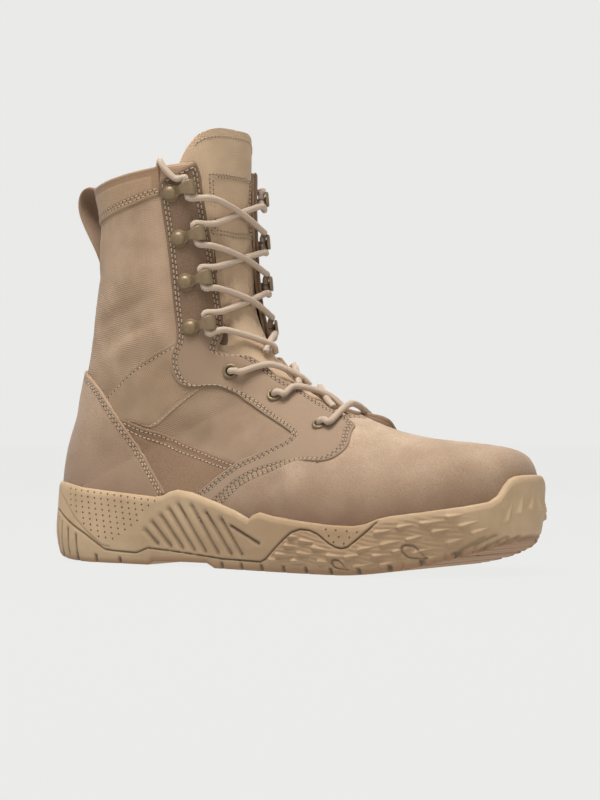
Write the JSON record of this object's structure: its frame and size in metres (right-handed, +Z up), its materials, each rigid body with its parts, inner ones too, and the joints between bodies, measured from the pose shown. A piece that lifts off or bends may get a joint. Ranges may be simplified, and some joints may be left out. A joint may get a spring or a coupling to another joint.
{
  "type": "jungle boot",
  "caption": "Tall laced jungle boot for the right foot: canvas and suede upper, padded tongue, hooks and eyelets, ribbed rubber sole with toe spring.",
  "frame": {"origin": "on the floor under the middle of the boot's length and width", "axes": "+X towards the toe, -Y towards the outer side of a right foot, +Z up"},
  "size_m": [0.3115, 0.1093, 0.2453],
  "materials": {
    "rubber": "matt moulded rubber, khaki tan",
    "foam": "fabric-topped foam, dark tan",
    "canvas": "woven canvas, desert tan",
    "suede": "rough suede, desert tan",
    "painted_metal": "semi-matt olive khaki paint",
    "lace_cord": "round braided cord, pale sand"
  },
  "bodies": {
    "root": {"outsole": "rubber", "midsole": "rubber", "insole": "foam", "upper": "canvas", "tongue": "canvas", "vamp": "suede", "heel_counter": "suede", "collar_band": "suede", "facing_lateral": "suede", "facing_medial": "suede", "side_panel_lateral": "suede", "side_panel_medial": "suede", "pull_loop": "suede", "hook_lateral_1": "painted_metal", "hook_lateral_2": "painted_metal", "hook_lateral_3": "painted_metal", "hook_lateral_4": "painted_metal", "hook_medial_1": "painted_metal", "hook_medial_2": "painted_metal", "hook_medial_3": "painted_metal", "hook_medial_4": "painted_metal", "eyelet_lateral_1": "painted_metal", "eyelet_lateral_2": "painted_metal", "eyelet_lateral_3": "painted_metal", "eyelet_medial_1": "painted_metal", "eyelet_medial_2": "painted_metal", "eyelet_medial_3": "painted_metal", "lace_bar": "lace_cord", "lace_cross_1": "lace_cord", "lace_cross_2": "lace_cord", "lace_cross_3": "lace_cord", "lace_cross_4": "lace_cord", "lace_cross_5": "lace_cord", "lace_cross_6": "lace_cord", "lace_end_lateral": "lace_cord", "lace_end_medial": "lace_cord"}
  },
  "joints": []
}
